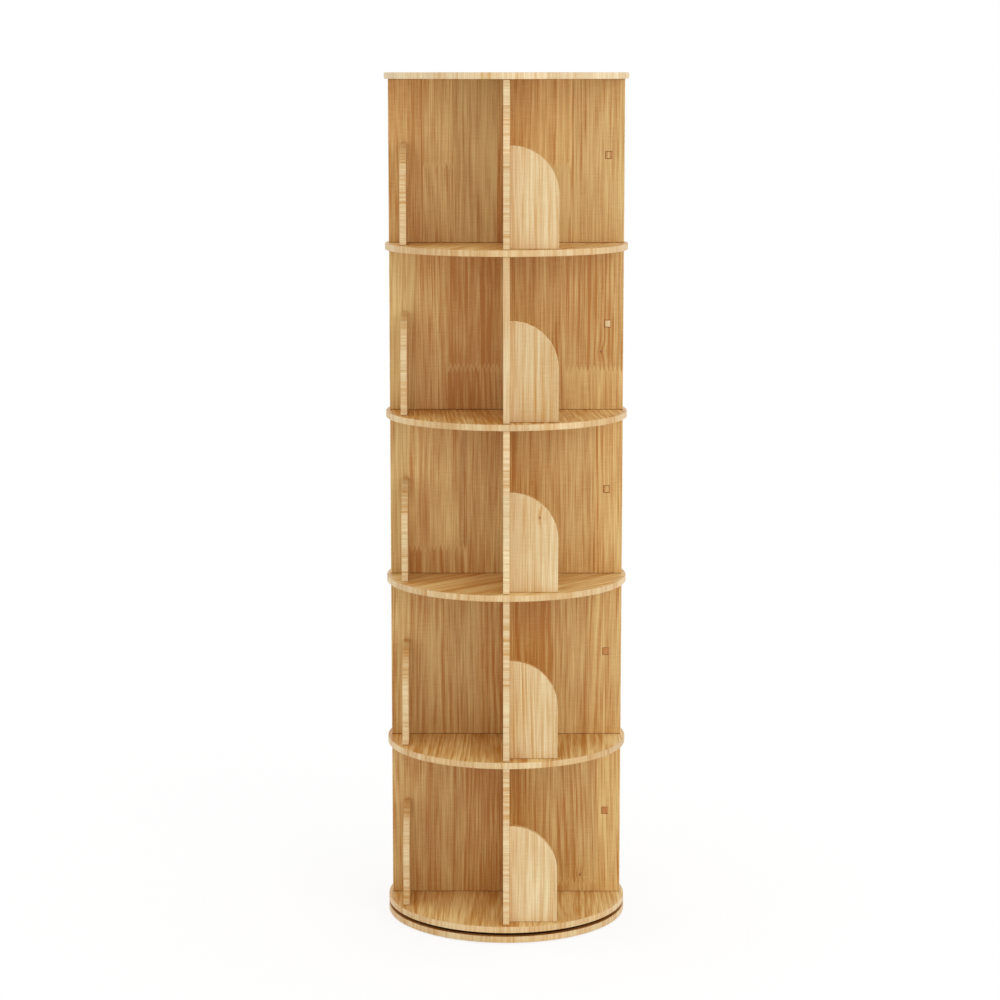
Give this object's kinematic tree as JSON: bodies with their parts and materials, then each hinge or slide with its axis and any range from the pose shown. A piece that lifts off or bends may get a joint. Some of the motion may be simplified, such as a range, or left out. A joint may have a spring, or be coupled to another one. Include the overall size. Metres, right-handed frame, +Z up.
{
  "type": "revolving bookcase",
  "caption": "Tall round revolving bookcase of solid wood: round shelves with crossed partitions and round-cornered book stops turn together on a ring of balls above a round base.",
  "frame": {"origin": "on the floor, on the axis that the shelves turn about", "axes": "+Z up along the turning axis, +X to the right and -Y to the front as the picture shows it"},
  "size_m": [0.46, 0.46, 1.623],
  "materials": {
    "board_wood": "satin lacquer",
    "partition_wood": "satin lacquer",
    "stop_wood": "satin lacquer",
    "dowel_wood": "bare",
    "ring_aluminium": "as drawn",
    "ball_steel": "polished",
    "screw_steel": "zinc plated",
    "cage_plastic": "moulded",
    "pad_rubber": "matt"
  },
  "bodies": {
    "base": {"base_board": "board_wood", "foot_pads": "pad_rubber", "turntable_outer_ring": "ring_aluminium", "outer_ring_screws": "screw_steel"},
    "ball_row": {"turntable_ball_cage": "cage_plastic", "turntable_balls": "ball_steel"},
    "carousel": {"turntable_inner_ring": "ring_aluminium", "inner_ring_screws": "screw_steel", "shelf_1": "board_wood", "shelf_2": "board_wood", "shelf_3": "board_wood", "shelf_4": "board_wood", "shelf_5": "board_wood", "top_board": "board_wood", "side_to_side_partition_1": "partition_wood", "side_to_side_partition_2": "partition_wood", "side_to_side_partition_3": "partition_wood", "side_to_side_partition_4": "partition_wood", "side_to_side_partition_5": "partition_wood", "front_to_back_partition_1": "partition_wood", "front_to_back_partition_2": "partition_wood", "front_to_back_partition_3": "partition_wood", "front_to_back_partition_4": "partition_wood", "front_to_back_partition_5": "partition_wood", "book_stop_right_1": "stop_wood", "book_stop_right_2": "stop_wood", "book_stop_right_3": "stop_wood", "book_stop_right_4": "stop_wood", "book_stop_right_5": "stop_wood", "book_stop_back_1": "stop_wood", "book_stop_back_2": "stop_wood", "book_stop_back_3": "stop_wood", "book_stop_back_4": "stop_wood", "book_stop_back_5": "stop_wood", "book_stop_left_1": "stop_wood", "book_stop_left_2": "stop_wood", "book_stop_left_3": "stop_wood", "book_stop_left_4": "stop_wood", "book_stop_left_5": "stop_wood", "book_stop_front_1": "stop_wood", "book_stop_front_2": "stop_wood", "book_stop_front_3": "stop_wood", "book_stop_front_4": "stop_wood", "book_stop_front_5": "stop_wood", "partition_dowels": "dowel_wood", "stop_dowels": "dowel_wood"}
  },
  "joints": [
    {"name": "turntable", "type": "hinge", "parent": "base", "child": "carousel", "pos_m": [0, 0, 0.0175], "axis": [0, 0, 1], "continuous": true},
    {"name": "ball_row_roll", "type": "hinge", "parent": "base", "child": "ball_row", "pos_m": [0, 0, 0.0175], "axis": [0, 0, 1], "continuous": true}
  ],
  "couplings": [
    {"joint": "ball_row_roll", "follows": "turntable", "ratio": 0.4922}
  ]
}
